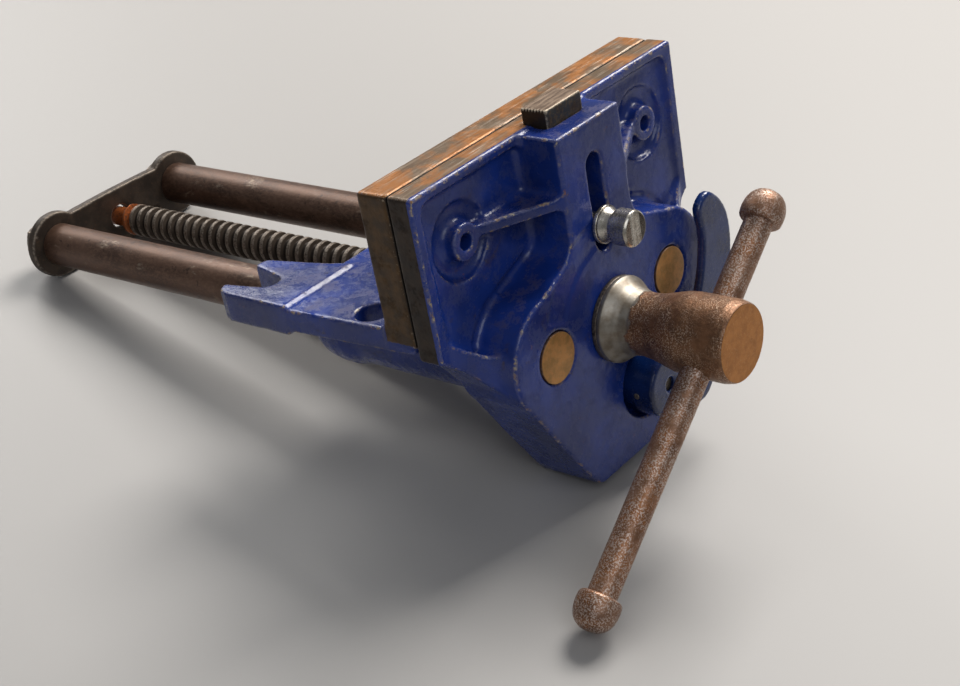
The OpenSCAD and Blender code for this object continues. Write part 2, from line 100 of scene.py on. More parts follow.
def new_piece(name, points, faces, nodes, sharp=40):
    """Makes a mesh object in the row frame that stands for CAD nodes and rides on their body."""
    mesh = bpy.data.meshes.new(name)
    mesh.from_pydata([tuple(p) for p in points], [], faces)
    mesh.validate()
    mesh.update()
    mesh.shade_smooth()
    if sharp:
        mesh.set_sharp_from_angle(angle=math.radians(sharp))
    piece = bpy.data.objects.new(name, mesh)
    bpy.context.scene.collection.objects.link(piece)
    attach(piece, body_of[nodes[0]])
    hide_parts(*nodes)
    return piece


def joined(*parts):
    """Several (points, faces) as one."""
    points, faces = [], []
    for more_points, more_faces in parts:
        start = len(points)
        points.extend(more_points)
        faces.extend(tuple(i + start for i in face) for face in more_faces)
    return points, faces


def surface_of(node):
    """Points and triangles of a CAD node."""
    mesh = frame["nodes"][node].data
    mesh.calc_loop_triangles()
    points = np.zeros(len(mesh.vertices) * 3, np.float32)
    mesh.vertices.foreach_get("co", points)
    triangles = np.zeros(len(mesh.loop_triangles) * 3, np.int32)
    mesh.loop_triangles.foreach_get("vertices", triangles)
    return points.reshape(-1, 3), {"triangles": triangles.reshape(-1, 3).astype(np.uint32)}


def grown(points, faces, offset, voxel):
    """The closed surface moved outwards by offset, rebuilt on a grid of that voxel size."""
    grid = openvdb.FloatGrid.createLevelSetFromPolygons(
        points,
        transform=openvdb.createLinearTransform(voxel),
        halfWidth=abs(offset) / voxel + 3,
        **faces,
    )
    points, quads = grid.convertToQuads(offset)
    return points, {"quads": quads}


def cast_piece(node, voxel, fillet, edge):
    """Stands for a CAD node, with its inner corners filled to one radius and its edges rounded."""
    points, faces = surface_of(node)
    for offset in (fillet, -fillet - edge, edge):
        points, faces = grown(points, faces, offset * MM, voxel * MM)
    quads = faces["quads"][:, ::-1]
    return new_piece(node + "_body", points.tolist(), quads.tolist(), [node], sharp=0)


def roughen(piece, depth, size, smooth_at=lambda p: False):
    """Sinks the surface by up to depth millimetres in soft hollows, as sand casting or pitting does."""
    mesh = piece.data
    normals = [vertex.normal.copy() for vertex in mesh.vertices]
    places = [vertex.co.copy() for vertex in mesh.vertices]
    for place, normal in zip(places, normals):
        if smooth_at(place):
            continue
        q = place / (size * MM)
        hollow = 0.5 + 0.35 * noise.noise(q) + 0.2 * noise.noise(q * 2.7)
        place -= normal * max(0.0, hollow) * depth * MM
    mesh.vertices.foreach_set("co", np.array(places, np.float32).ravel())
    mesh.update()


def softened(profile, radius, steps=3):
    """A profile of (distance from axis, distance along) with each corner rounded."""
    points = [Vector(p) for p in profile]
    out = [points[0]]
    for before, corner, after in zip(points, points[1:], points[2:]):
        reach = min(radius, (before - corner).length * 0.45, (after - corner).length * 0.45)
        start = corner + (before - corner).normalized() * reach
        end = corner + (after - corner).normalized() * reach
        for i in range(steps + 1):
            t = i / steps
            out.append(start * (1 - t) ** 2 + corner * 2 * t * (1 - t) + end * t**2)
    return out + [points[-1]]


def refined(profile, step):
    """A profile with more points, none further apart than step."""
    out = [Vector(profile[0])]
    for a, b in zip(profile, profile[1:]):
        a, b = Vector(a), Vector(b)
        count = max(1, math.ceil((b - a).length / step))
        out.extend(a + (b - a) * (i / count) for i in range(1, count + 1))
    return out


def turned(profile, origin, axis, segments=96, limit=None):
    """A shape turned about an axis through origin, from a profile in millimetres.

    A profile that ends where it starts makes a ring. limit(angle) may hold the radius in."""
    axis = Vector(axis).normalized()
    across = axis.orthogonal().normalized()
    other = axis.cross(across)
    ring = (Vector(profile[0]) - Vector(profile[-1])).length < 1e-6
    rows = profile[:-1] if ring else profile
    points, faces = [], []
    for radius, along in rows:
        for k in range(segments):
            a = TAU * k / segments
            r = min(radius, limit(a)) if limit else radius
            out = across * math.cos(a) + other * math.sin(a)
            points.append(Vector(origin) + (axis * along + out * max(r, 1e-3)) * MM)
    for i in range(len(rows) if ring else len(rows) - 1):
        j = (i + 1) % len(rows)
        for k in range(segments):
            n = (k + 1) % segments
            faces.append((i * segments + k, i * segments + n, j * segments + n, j * segments + k))
    if not ring:
        faces.append(tuple(reversed(range(segments))))
        faces.append(tuple(range((len(rows) - 1) * segments, len(rows) * segments)))
    return points, faces


def ring_profile(inner, outer, low, high, corner=0.3):
    """The closed profile of a plain ring with softened corners."""
    middle = (inner + outer) / 2
    square = [(middle, low), (outer, low), (outer, high), (inner, high), (inner, low), (middle, low)]
    return softened(square, corner)


def coil(radius, wire, turns, low, high, origin, axis, sides=10, steps=40):
    """Round wire wound into a spring between two places along the axis, in millimetres."""
    axis = Vector(axis).normalized()
    across = axis.orthogonal().normalized()
    other = axis.cross(across)
    count = int(turns * steps)
    points, faces = [], []
    for i in range(count + 1):
        t = i / count
        a = TAU * turns * t
        out = across * math.cos(a) + other * math.sin(a)
        along = low + wire + (high - low - 2 * wire) * t
        for k in range(sides):
            b = TAU * k / sides
            place = out * (radius + wire * math.cos(b)) + axis * (along + wire * math.sin(b))
            points.append(Vector(origin) + place * MM)
    for i in range(count):
        for k in range(sides):
            n = (k + 1) % sides
            faces.append((i * sides + k, (i + 1) * sides + k, (i + 1) * sides + n, i * sides + n))
    faces.append(tuple(range(sides)))
    faces.append(tuple(reversed(range(count * sides, (count + 1) * sides))))
    return points, faces


def axis_place(low, high):
    """The axis that runs along Y through the middle of a box."""
    return Vector(((low.x + high.x) / 2, 0, (low.z + high.z) / 2))


# ------------------------------------------------------------------ shader helpers


class Shader:
    """A small builder for one node material, in millimetres of the object's own space."""

    def __init__(self, name):
        self.material = bpy.data.materials.new(name)
        self.material.use_nodes = True
        self.tree = self.material.node_tree
        self.tree.nodes.clear()
        self.output = self.tree.nodes.new("ShaderNodeOutputMaterial")
        self.surface = self.tree.nodes.new("ShaderNodeBsdfPrincipled")
        self.link(self.surface.outputs[0], self.output.inputs[0])
        self.texture = self.tree.nodes.new("ShaderNodeTexCoord")
        self.mm = self.stretched(1, 1, 1)
        self.geometry = self.tree.nodes.new("ShaderNodeNewGeometry")

    def link(self, source, target):
        self.tree.links.new(source, target)

    def feed(self, socket, value):
        if hasattr(value, "is_linked"):
            self.link(value, socket)
        else:
            socket.default_value = value

    def stretched(self, x, y, z):
        """The millimetre coordinates scaled along each axis."""
        node = self.tree.nodes.new("ShaderNodeVectorMath")
        node.operation = "MULTIPLY"
        self.link(self.texture.outputs["Object"], node.inputs[0])
        node.inputs[1].default_value = (x / MM, y / MM, z / MM)
        return node.outputs[0]

    def noise(self, size, detail=4, rough=0.55, where=None, warp=0.0):
        """Noise from 0 to 1 with features about size millimetres wide."""
        node = self.tree.nodes.new("ShaderNodeTexNoise")
        self.link(where or self.mm, node.inputs["Vector"])
        node.inputs["Scale"].default_value = 1 / size
        node.inputs["Detail"].default_value = detail
        node.inputs["Roughness"].default_value = rough
        node.inputs["Distortion"].default_value = warp
        return node.outputs["Fac"]

    def ramp(self, value, low, high, a=0.0, b=1.0):
        """Maps low..high smoothly to a..b."""
        node = self.tree.nodes.new("ShaderNodeMapRange")
        node.interpolation_type = "SMOOTHSTEP"
        self.link(value, node.inputs["Value"])
        node.inputs["From Min"].default_value = low
        node.inputs["From Max"].default_value = high
        node.inputs["To Min"].default_value = a
        node.inputs["To Max"].default_value = b
        return node.outputs["Result"]

    def math(self, operation, a, b=0.0):
        node = self.tree.nodes.new("ShaderNodeMath")
        node.operation = operation
        self.feed(node.inputs[0], a)
        self.feed(node.inputs[1], b)
        return node.outputs[0]

    def times(self, *values):
        result = values[0]
        for value in values[1:]:
            result = self.math("MULTIPLY", result, value)
        return result

    def most(self, *values):
        result = values[0]
        for value in values[1:]:
            result = self.math("MAXIMUM", result, value)
        return result

    def mix(self, factor, a, b):
        """Colour a where factor is 0 and b where it is 1."""
        node = self.tree.nodes.new("ShaderNodeMix")
        node.data_type = "RGBA"
        self.feed(node.inputs[0], factor)
        for socket, value in ((node.inputs[6], a), (node.inputs[7], b)):
            self.feed(socket, value if hasattr(value, "is_linked") else (*value, 1.0))
        return node.outputs[2]

    def split(self, source, axis):
        node = self.tree.nodes.new("ShaderNodeSeparateXYZ")
        self.link(source, node.inputs[0])
        return node.outputs["XYZ".index(axis)]

    def place(self, axis):
        """One coordinate in millimetres."""
        return self.split(self.mm, axis)

    def facing(self, axis):
        """How far the surface faces along an axis, from -1 to 1."""
        return self.split(self.texture.outputs["Normal"], axis)

    def edges(self, low=0.508, high=0.535):
        """1 on outer edges, where wear and a painted edge highlight go."""
        return self.ramp(self.geometry.outputs["Pointiness"], low, high)

    def corners(self, low=0.493, high=0.468):
        """1 in inner corners."""
        return self.ramp(self.geometry.outputs["Pointiness"], low, high)

    def attribute(self, name):
        node = self.tree.nodes.new("ShaderNodeAttribute")
        node.attribute_name = name
        return node.outputs["Fac"]

    def bump(self, height, depth, normal=None):
        """A bump of that depth in millimetres for a height from 0 to 1."""
        node = self.tree.nodes.new("ShaderNodeBump")
        node.inputs["Distance"].default_value = depth * MM
        self.link(height, node.inputs["Height"])
        if normal is not None:
            self.link(normal, node.inputs["Normal"])
        return node.outputs[0]

    def done(self, colour, roughness, metallic=0.0, normal=None, coat=0.0, coat_roughness=0.2):
        s = self.surface.inputs
        self.feed(s["Base Color"], colour if hasattr(colour, "is_linked") else (*colour, 1.0))
        self.feed(s["Roughness"], roughness)
        self.feed(s["Metallic"], metallic)
        s["Coat Weight"].default_value = coat
        s["Coat Roughness"].default_value = coat_roughness
        if normal is not None:
            self.link(normal, s["Normal"])
        return self.material


def paint(piece, material):
    piece.data.materials.clear()
    piece.data.materials.append(material)


# ------------------------------------------------------------------ materials

COBALT = (0.008, 0.034, 0.235)
DEEP_BLUE = (0.005, 0.018, 0.120)
DUSTY = (0.060, 0.052, 0.130)
CREAM = (0.46, 0.40, 0.27)
RUST = (0.30, 0.105, 0.025)
DARK_RUST = (0.075, 0.032, 0.014)


def jaw_metal(s, blotch, end_colour, end_patch):
    """Colour of the machined faces: rusty and scratched on top, dark at the ends."""
    streak = s.noise(1.6, 5, 0.6, s.stretched(0.09, 1, 1))
    scratch = s.noise(0.5, 2, 0.5, s.stretched(0.03, 1, 1))
    top = s.mix(s.ramp(blotch, 0.42, 0.60), (0.150, 0.098, 0.055), (0.36, 0.135, 0.024))
    top = s.mix(s.times(s.ramp(streak, 0.50, 0.68), 0.65), top, (0.30, 0.225, 0.165))
    top = s.mix(s.ramp(streak, 0.46, 0.32, 0, 0.55), top, DARK_RUST)
    top = s.mix(s.times(s.ramp(scratch, 0.62, 0.72), 0.7), top, (0.62, 0.55, 0.46))
    side = s.mix(s.ramp(s.noise(5, 5), 0.35, 0.7), end_colour, end_patch)
    return s.mix(s.ramp(s.facing("Z"), 0.5, 0.85), side, top)


def jaw_material(name, bare_low_y, bare_high_y, bare_low_z, end_colour, end_patch):
    """Worn cobalt enamel on cast iron, with the machined faces of a jaw left bare.

    The bare zone is the block between two Y places and above a height; its front stays painted."""
    s = Shader(name)
    broad = s.noise(34, 3, 0.5)
    mid = s.noise(8, 5, 0.6)
    fine = s.noise(1.5, 5, 0.65)
    blotch = s.noise(17, 5, 0.6, warp=0.4)
    colour = s.mix(s.ramp(broad, 0.32, 0.68), COBALT, DEEP_BLUE)
    colour = s.mix(s.times(s.ramp(mid, 0.46, 0.68), 0.45), colour, (0.020, 0.040, 0.150))
    dust = s.times(s.ramp(mid, 0.44, 0.64), s.ramp(fine, 0.32, 0.66))
    lying = s.ramp(s.facing("Z"), 0.45, 0.95, 0.35, 1.0)
    colour = s.mix(s.times(dust, lying, 0.8), colour, DUSTY)
    # Inner corners a deeper blue: painted shade where the creases fall into shadow.
    colour = s.mix(s.times(s.corners(), s.ramp(mid, 0.4, 0.6, 0.3, 0.9)), colour, DEEP_BLUE)
    grime = s.times(s.ramp(s.noise(13, 5, 0.7, warp=0.8), 0.60, 0.72), s.ramp(fine, 0.3, 0.6))
    colour = s.mix(s.times(grime, 0.7), colour, (0.045, 0.028, 0.020))
    edge = s.edges()
    rubbed = s.times(edge, s.ramp(fine, 0.38, 0.56))
    colour = s.mix(s.times(rubbed, 0.55), colour, (0.12, 0.13, 0.27))
    chipped = s.times(edge, s.ramp(s.noise(3.2, 4, 0.7), 0.52, 0.60))
    colour = s.mix(chipped, colour, s.mix(s.ramp(fine, 0.4, 0.6), CREAM, (0.24, 0.13, 0.06)))
    rusted = s.times(s.ramp(s.noise(5.5, 5, 0.75), 0.66, 0.70), s.ramp(edge, 0.0, 0.4, 0.25, 1.0))
    colour = s.mix(rusted, colour, RUST)

    ragged = s.math("MULTIPLY", s.math("SUBTRACT", fine, 0.5), 1.6)
    high = s.math("ADD", s.place("Z"), ragged)
    deep = s.math("ADD", s.place("Y"), s.math("MULTIPLY", ragged, 0.5))
    wide = s.math("ADD", s.math("ABSOLUTE", s.place("X")), s.math("MULTIPLY", ragged, 0.5))
    top = s.ramp(high, JAW_TOP / MM - 0.9, JAW_TOP / MM - 0.5)
    ends = s.times(
        s.ramp(wide, JAW_SIDE / MM - 0.9, JAW_SIDE / MM - 0.5),
        s.ramp(high, bare_low_z - 0.4, bare_low_z),
    )
    behind = s.ramp(deep, bare_low_y - 0.3, bare_low_y)
    before = s.ramp(deep, bare_high_y + 0.3, bare_high_y)
    block = s.times(behind, before)
    meeting = s.ramp(s.math("ABSOLUTE", s.math("SUBTRACT", s.place("Y"), MEET_Y / MM)), 1.1, 0.8)
    bare = s.most(s.times(s.most(top, ends), block), meeting)
    metal = jaw_metal(s, blotch, end_colour, end_patch)
    metal = s.mix(s.times(edge, s.ramp(fine, 0.55, 0.66), 0.8), metal, (0.42, 0.34, 0.25))
    joint = s.ramp(s.math("ABSOLUTE", s.math("SUBTRACT", s.place("Y"), MEET_Y / MM - 0.15)), 0.75, 0.35)
    metal = s.mix(joint, metal, (0.010, 0.007, 0.005))
    colour = s.mix(bare, colour, metal)

    roughness = s.ramp(dust, 0.0, 1.0, 0.24, 0.58)
    roughness = s.math("ADD", s.times(bare, 0.16), roughness)
    normal = s.bump(s.noise(0.9, 3, 0.6), 0.05)
    normal = s.bump(s.noise(3.5, 4, 0.6), 0.16, normal)
    whole = s.times(s.math("SUBTRACT", 1.0, chipped), s.math("SUBTRACT", 1.0, rusted))
    normal = s.bump(whole, 0.12, normal)
    return s.done(colour, roughness, s.times(bare, 0.35), normal)


def lever_material():
    """Glossy dark cobalt enamel, little worn, with a painted highlight along its edges."""
    s = Shader("lever_enamel")
    fine = s.noise(1.4, 5, 0.65)
    colour = s.mix(s.ramp(s.noise(22, 3), 0.35, 0.65), (0.004, 0.024, 0.130), (0.002, 0.009, 0.050))
    edge = s.edges()
    # Lighter blue along the edges is a painted highlight: the rounded rims catching light.
    colour = s.mix(s.times(edge, s.ramp(fine, 0.45, 0.6), 0.7), colour, (0.05, 0.08, 0.22))
    chipped = s.times(edge, s.ramp(s.noise(3, 4, 0.7), 0.60, 0.66))
    colour = s.mix(chipped, colour, CREAM)
    normal = s.bump(s.noise(4, 3), 0.12)
    return s.done(colour, s.ramp(fine, 0.3, 0.7, 0.16, 0.30), 0.0, normal, 0.2, 0.08)


def bar_material():
    """Round bar under a brown rust film, with pale rubbed patches and orange end faces."""
    s = Shader("bar_steel")
    around = s.stretched(1, 0.35, 1)
    blotch = s.noise(13, 5, 0.65, around, 0.6)
    fine = s.noise(1.2, 5, 0.7, s.stretched(1, 0.5, 1))
    colour = s.mix(s.ramp(blotch, 0.36, 0.66), (0.125, 0.068, 0.044), (0.060, 0.031, 0.020))
    colour = s.mix(s.times(s.ramp(fine, 0.42, 0.66), 0.6), colour, (0.20, 0.115, 0.078))
    pale = s.times(s.ramp(s.noise(9, 5, 0.7, around, 0.5), 0.58, 0.70), s.ramp(fine, 0.3, 0.6))
    colour = s.mix(s.times(pale, 0.75), colour, (0.42, 0.34, 0.26))
    colour = s.mix(s.times(s.ramp(s.noise(4, 4), 0.64, 0.70), 0.7), colour, (0.030, 0.016, 0.011))
    end = s.ramp(s.facing("Y"), -0.75, -0.95)
    disc = s.mix(s.ramp(s.noise(6, 5, 0.7), 0.35, 0.65), (0.56, 0.27, 0.085), (0.34, 0.18, 0.055))
    disc = s.mix(s.times(s.ramp(fine, 0.5, 0.7), 0.5), disc, (0.55, 0.36, 0.17))
    colour = s.mix(end, colour, disc)
    roughness = s.ramp(fine, 0.25, 0.75, 0.34, 0.55)
    normal = s.bump(fine, 0.05)
    normal = s.bump(s.noise(0.5, 2, 0.5, s.stretched(1, 0.08, 1)), 0.015, normal)
    return s.done(colour, roughness, 0.55, normal)


def thread_material():
    """Grey-brown thread, bright on the crests and dark in the grooves, with an orange-rusty tip."""
    s = Shader("screw_thread")
    fine = s.noise(1.0, 5, 0.7)
    crest = s.attribute("crest")
    colour = s.mix(s.ramp(s.noise(10, 4), 0.35, 0.65), (0.085, 0.064, 0.048), (0.050, 0.036, 0.026))
    colour = s.mix(s.ramp(crest, 0.25, 0.0), colour, (0.016, 0.011, 0.008))
    worn = s.times(s.ramp(crest, 0.75, 1.0), s.ramp(fine, 0.35, 0.65))
    colour = s.mix(s.times(worn, 0.7), colour, (0.32, 0.27, 0.22))
    tip = s.ramp(s.place("Y"), plate_low.y / MM - 18, plate_low.y / MM - 12)
    colour = s.mix(s.times(tip, s.ramp(fine, 0.25, 0.6)), colour, (0.40, 0.105, 0.022))
    return s.done(colour, s.ramp(fine, 0.3, 0.7, 0.36, 0.55), 0.55, s.bump(fine, 0.06))


def head_material():
    """Brown pitted barrel with a sparkle, a clean silver collar and a flat orange-tan end."""
    s = Shader("screw_head")
    pits = s.noise(0.62, 3, 0.6)
    fine = s.noise(1.4, 5, 0.7)
    mid = s.noise(7, 5, 0.6)
    colour = s.mix(s.ramp(mid, 0.35, 0.65), (0.235, 0.112, 0.054), (0.130, 0.062, 0.032))
    colour = s.mix(s.times(s.ramp(fine, 0.45, 0.65), 0.55), colour, (0.30, 0.155, 0.080))
    # Pale speckles over the pits are painted glints of the pitted surface.
    sparkle = s.times(s.ramp(pits, 0.52, 0.60), s.ramp(s.noise(11, 3), 0.35, 0.6))
    colour = s.mix(s.times(sparkle, 0.8), colour, (0.62, 0.45, 0.32))
    along = s.math("ADD", s.place("Y"), s.times(s.math("SUBTRACT", mid, 0.5), 7.0))
    along = s.math("ADD", along, s.times(s.math("SUBTRACT", fine, 0.5), 2.5))
    turned_bright = s.ramp(along, MEET_Y / MM - 46.8, MEET_Y / MM - 45.6)
    silver = s.mix(s.ramp(s.noise(5, 4, 0.6), 0.35, 0.7), (0.31, 0.285, 0.245), (0.20, 0.165, 0.125))
    colour = s.mix(turned_bright, colour, silver)
    end = s.ramp(s.facing("Y"), -0.80, -0.97)
    tan = s.mix(s.ramp(s.noise(5, 5, 0.65), 0.35, 0.7), (0.52, 0.225, 0.065), (0.39, 0.160, 0.046))
    tan = s.mix(s.times(s.ramp(s.noise(0.9, 3), 0.52, 0.7), 0.35), tan, (0.60, 0.36, 0.17))
    colour = s.mix(end, colour, tan)
    smooth = s.most(turned_bright, end)
    roughness = s.mix(smooth, (0.40, 0.40, 0.40), (0.44, 0.44, 0.44))
    pitted = s.times(pits, s.ramp(smooth, 0.0, 1.0, 1.0, 0.08))
    normal = s.bump(pitted, 0.16)
    normal = s.bump(s.times(fine, s.ramp(smooth, 0.0, 1.0, 1.0, 0.15)), 0.12, normal)
    return s.done(colour, s.split(roughness, "X"), s.ramp(smooth, 0.0, 1.0, 0.62, 0.85), normal)


def handle_material():
    """Pitted steel, pinkish brown with a silver speckle and orange rust near the barrel."""
    s = Shader("handle_steel")
    pits = s.noise(0.7, 3, 0.65)
    fine = s.noise(1.6, 5, 0.7)
    mid = s.noise(9, 4, 0.6)
    colour = s.mix(s.ramp(mid, 0.35, 0.65), (0.30, 0.165, 0.100), (0.185, 0.092, 0.052))
    rust = s.times(s.ramp(s.noise(16, 4), 0.46, 0.60), s.ramp(fine, 0.35, 0.6))
    colour = s.mix(s.times(rust, 0.8), colour, (0.34, 0.135, 0.045))
    silver = s.times(s.ramp(pits, 0.49, 0.57), s.ramp(s.noise(8, 4), 0.28, 0.52))
    colour = s.mix(s.times(silver, 0.85), colour, (0.58, 0.48, 0.42))
    normal = s.bump(pits, 0.17)
    normal = s.bump(fine, 0.12, normal)
    return s.done(colour, s.ramp(fine, 0.3, 0.7, 0.34, 0.50), 0.68, normal)


def bright_material():
    """Clean turned steel with faint tool marks."""
    s = Shader("bright_steel")
    fine = s.noise(0.8, 4, 0.6)
    colour = s.mix(s.ramp(s.noise(4, 4), 0.4, 0.7), (0.60, 0.57, 0.51), (0.40, 0.36, 0.30))
    # Inner corners nearly black: painted shade in the creases.
    colour = s.mix(s.corners(0.485, 0.44), colour, (0.05, 0.035, 0.025))
    end = s.times(s.ramp(s.facing("Y"), -0.8, -0.97), s.ramp(s.place("X"), 2.6, 3.0))
    colour = s.mix(s.times(end, 0.85), colour, (0.060, 0.052, 0.045))
    strip = s.times(s.ramp(s.facing("Y"), -0.8, -0.97), s.ramp(s.place("X"), -3.2, -3.5))
    colour = s.mix(s.times(strip, 0.6), colour, (0.17, 0.13, 0.10))
    return s.done(colour, s.ramp(fine, 0.3, 0.7, 0.2, 0.34), 0.92, s.bump(fine, 0.02))


def iron_material(name, main_colour, patch_colour, roughness=0.5, metallic=0.5):
    """Plain unpainted iron or steel with a thin film of rust and grease."""
    s = Shader(name)
    fine = s.noise(1.3, 5, 0.7)
    blotch = s.noise(9, 5, 0.6)
    colour = s.mix(s.ramp(blotch, 0.35, 0.65), main_colour, patch_colour)
    colour = s.mix(s.times(s.ramp(fine, 0.55, 0.72), 0.6), colour, (0.16, 0.085, 0.045))
    colour = s.mix(s.times(s.edges(), s.ramp(fine, 0.35, 0.6), 0.7), colour, (0.30, 0.25, 0.20))
    uneven = s.ramp(fine, 0.3, 0.7, roughness - 0.1, roughness + 0.1)
    return s.done(colour, uneven, metallic, s.bump(fine, 0.07))


def dog_material():
    """Flat steel bar: tan rust on top, brown and green on its faces, worn bright at its edges."""
    s = Shader("dog_steel")
    fine = s.noise(1.1, 5, 0.7)
    streak = s.noise(1.6, 5, 0.6, s.stretched(0.15, 1, 1))
    colour = s.mix(s.ramp(s.noise(6, 5), 0.38, 0.62), (0.060, 0.040, 0.024), (0.045, 0.050, 0.052))
    colour = s.mix(s.times(s.ramp(fine, 0.48, 0.66), 0.7), colour, (0.17, 0.11, 0.055))
    top = s.mix(s.ramp(streak, 0.38, 0.64), (0.115, 0.072, 0.045), (0.28, 0.20, 0.14))
    colour = s.mix(s.ramp(s.facing("Z"), 0.6, 0.9), colour, top)
    side = s.ramp(s.math("ABSOLUTE", s.facing("X")), 0.7, 0.95)
    colour = s.mix(s.times(side, 0.8), colour, (0.022, 0.014, 0.009))
    colour = s.mix(s.times(s.edges(), s.ramp(fine, 0.36, 0.56)), colour, (0.50, 0.43, 0.33))
    return s.done(colour, s.ramp(fine, 0.3, 0.7, 0.4, 0.6), 0.45, s.bump(fine, 0.09))


# ------------------------------------------------------------------ castings

REAR_BLOCK_Y = MEET_Y / MM + 15.6
RIM_Y = MEET_Y / MM - 12.6


def machined(p):
    """True on the faces of the jaws that were ground flat."""
    if p.z > JAW_TOP - 2 * MM or abs(p.y - MEET_Y) < 1.5 * MM:
        return True
    return abs(p.x) > JAW_SIDE - 1.2 * MM and p.y < (REAR_BLOCK_Y + 1) * MM


def castings():
    front = cast_piece("front_jaw", 0.6, 2.4, 0.9)
    roughen(front, 0.35, 9, machined)
    paint(front, jaw_material("front_jaw_enamel", RIM_Y + 2.0, 0, JAW_TOP / MM - 71,
                              (0.017, 0.011, 0.008), (0.034, 0.020, 0.012)))
    rear = cast_piece("rear_jaw", 0.6, 2.4, 0.9)
    roughen(rear, 0.35, 9, machined)
    paint(rear, jaw_material("rear_jaw_enamel", -100, REAR_BLOCK_Y - 0.5, JAW_TOP / MM - 65,
                             (0.046, 0.026, 0.012), (0.090, 0.046, 0.014)))
    lever = cast_piece("release_lever", 0.4, 1.6, 1.6)
    roughen(lever, 0.15, 7)
    paint(lever, lever_material())


# ------------------------------------------------------------------ guide bars, end plate and its nuts


def hexagon(flat):
    """Radius of a hexagon at an angle, from half the distance across its flats."""
    return lambda a: flat / math.cos((a + math.pi / 6) % (math.pi / 3) - math.pi / 6)


def guide_bars():
    material = bar_material()
    front, shoulder, end = BOSS_Y / MM, plate_low.y / MM, bar_high.y / MM
    ribs = []
    y = shoulder + 8.0
    while y < end - 1.6:
        ribs += [(STUD_R - 0.55, y), (STUD_R, y + 0.6)]
        y += 1.2
    profile = [(0, front), (BAR_R, front), (BAR_R, shoulder), (STUD_R, shoulder), (STUD_R, shoulder + 7.6)]
    profile = softened(profile, 0.5) + ribs + [(STUD_R - 0.8, end), (0, end)]
    for side, name in ((-1, "guide_bar_left"), (1, "guide_bar_right")):
        origin = Vector((side * BAR_X, 0, BAR_Z))
        points, faces = turned(profile, origin, ALONG, 96)
        paint(new_piece(name + "_turned", points, faces, [name], 35), material)


def end_plate():
    dark = iron_material("end_plate_iron", (0.040, 0.030, 0.023), (0.070, 0.050, 0.036))
    plate = cast_piece("end_plate", 0.5, 0.8, 0.8)
    roughen(plate, 0.15, 6)
    paint(plate, dark)
    steel = iron_material("nut_steel", (0.110, 0.092, 0.076), (0.065, 0.050, 0.040), 0.42, 0.7)
    low, high = washers_low.y / MM, washers_high.y / MM
    origins = [Vector((side * BAR_X, 0, BAR_Z)) for side in (-1, 1)]
    outer = (washers_high.z - washers_low.z) / 2 / MM
    rings = [turned(ring_profile(STUD_R + 0.1, outer, low, high), o, ALONG, 72) for o in origins]
    points, faces = joined(*rings)
    paint(new_piece("end_plate_washer_pair", points, faces, ["end_plate_washers"]), steel)
    low, high = nuts_low.y / MM, nuts_high.y / MM
    flat = min(nuts_high.z - nuts_low.z, nuts_high.x - nuts_low.x - 2 * BAR_X) / 2 / MM
    corner = flat / math.cos(math.pi / 6)
    profile = [(STUD_R + 0.1, low), (flat, low), (corner, low + 1.0), (corner, high - 1.3)]
    profile += [(flat - 0.2, high), (STUD_R + 0.9, high), (STUD_R + 0.1, high - 0.8), (STUD_R + 0.1, low)]
    profile = refined(profile, 1.2)[:-1] + [Vector(profile[0])]
    nuts = [turned(profile, o, ALONG, 96, hexagon(flat)) for o in origins]
    points, faces = joined(*nuts)
    paint(new_piece("end_plate_nut_pair", points, faces, ["end_plate_nuts"], 25), steel)


# ------------------------------------------------------------------ main screw

THREAD_PITCH = 6.35
THREAD_CREST = 8.5
THREAD_ROOT = 6.2
# One pitch of the thread: share of the pitch, and height from 0 at the root to 1 at the crest
THREAD_SHAPE = [(0.00, 0), (0.06, 0.08), (0.14, 0.92), (0.20, 1), (0.44, 1), (0.50, 0.92),
                (0.58, 0.08), (0.64, 0), (0.82, 0)]
TIP_Y = plate_low.y / MM - 9
CAVITY_Y = MEET_Y / MM - 17
HEAD = [(16.2, 0.0), (16.9, 1.0), (17.6, 4.5), (17.6, 22.8), (17.1, 27.3), (15.6, 33.3), (14.1, 39.3),
        (13.6, 44.3), (13.7, 47.8), (14.8, 51.3), (16.4, 54.1), (18.2, 56.5), (18.9, 57.5), (18.9, 59.3)]


def screw_head():
    """Barrel, neck and collar, turned in one piece."""
    start = screw_low.y / MM
    outer = softened([(0, 0), HEAD[0], HEAD[1]], 0.3) + [Vector(p) for p in HEAD[2:11]]
    outer += softened(HEAD[10:] + [(11, 59.4), (11, -start + CAVITY_Y)], 0.4)[1:]
    outer += [Vector((THREAD_ROOT, -start + CAVITY_Y))]
    profile = [(r, y + start) for r, y in refined(outer, 0.7)]
    points, faces = turned(profile, SCREW, ALONG, 160)
    return points, faces


def screw_thread(first, last, steps=48):
    """Points, faces and crest values of a right-hand square-shouldered thread."""
    rows = len(THREAD_SHAPE)
    turns = math.ceil((last - first) / THREAD_PITCH) + 1
    points, crest = [], []
    for j in range(-rows, turns * rows + 1):
        share, height = THREAD_SHAPE[j % rows]
        for k in range(steps):
            y = first + THREAD_PITCH * (j // rows + share + k / steps)
            fade = min(1.0, max(0.0, (last - y) / 3.0), max(0.0, (y - first) / 2.0))
            r = THREAD_ROOT + (THREAD_CREST - THREAD_ROOT) * height * fade
            a = TAU * k / steps
            y = min(max(y, first), last)
            points.append(SCREW + Vector((r * math.sin(a), y, r * math.cos(a))) * MM)
            crest.append(height * fade)
    faces = []
    total = turns * rows + 1 + rows
    for i in range(total - 1):
        for k in range(steps):
            if k < steps - 1:
                here = i * steps + k
                faces.append((here, here + 1, here + 1 + steps, here + steps))
            elif i + 1 + rows < total:
                near, far = (i + rows) * steps, (i + 1 + rows) * steps
                faces.append((i * steps + k, near, far, (i + 1) * steps + k))
    return points, faces, crest


